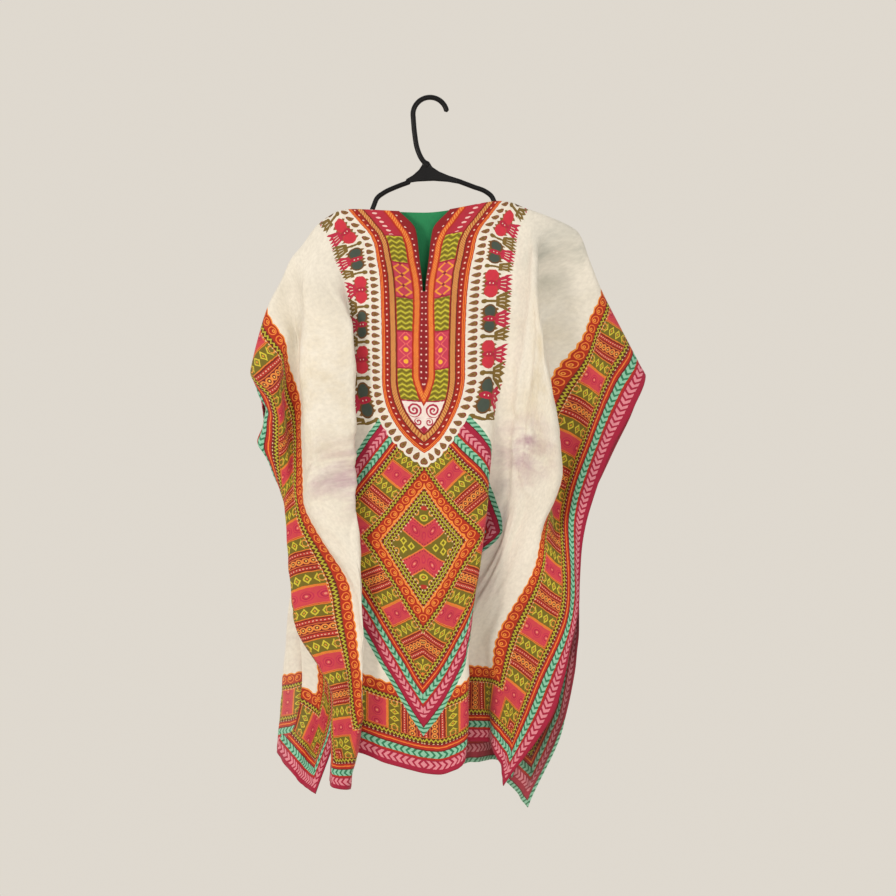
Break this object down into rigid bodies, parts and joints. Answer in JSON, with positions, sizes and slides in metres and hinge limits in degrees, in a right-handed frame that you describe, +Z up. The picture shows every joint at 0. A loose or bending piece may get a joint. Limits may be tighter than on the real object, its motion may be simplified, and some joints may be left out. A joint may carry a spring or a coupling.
{
  "type": "hanging kaftan top on a plastic clothes hanger",
  "caption": "Sleeved cotton kaftan top with a front slit and printed borders, hung in folds on a black moulded plastic clothes hanger",
  "frame": {"origin": "inside top of the hanger's hook, where a pin or a rail bears", "axes": "+Z up, the garment's front faces -Y, +X is the viewer's right"},
  "size_m": [0.5795, 0.1535, 1.0338],
  "materials": {
    "printed_cotton": "plain-woven cotton, roller printed in red, orange, olive and crimson on cream, soft and slightly limp",
    "printed_cotton_back": "the same printed cotton, mostly plain cream between its borders",
    "green_cotton": "plain dyed cotton, smooth",
    "black_plastic": "injection-moulded polystyrene, satin"
  },
  "bodies": {
    "root": {"front_panel": "printed_cotton", "back_panel": "printed_cotton_back", "neck_facing": "green_cotton", "hanger": "black_plastic"}
  },
  "joints": []
}
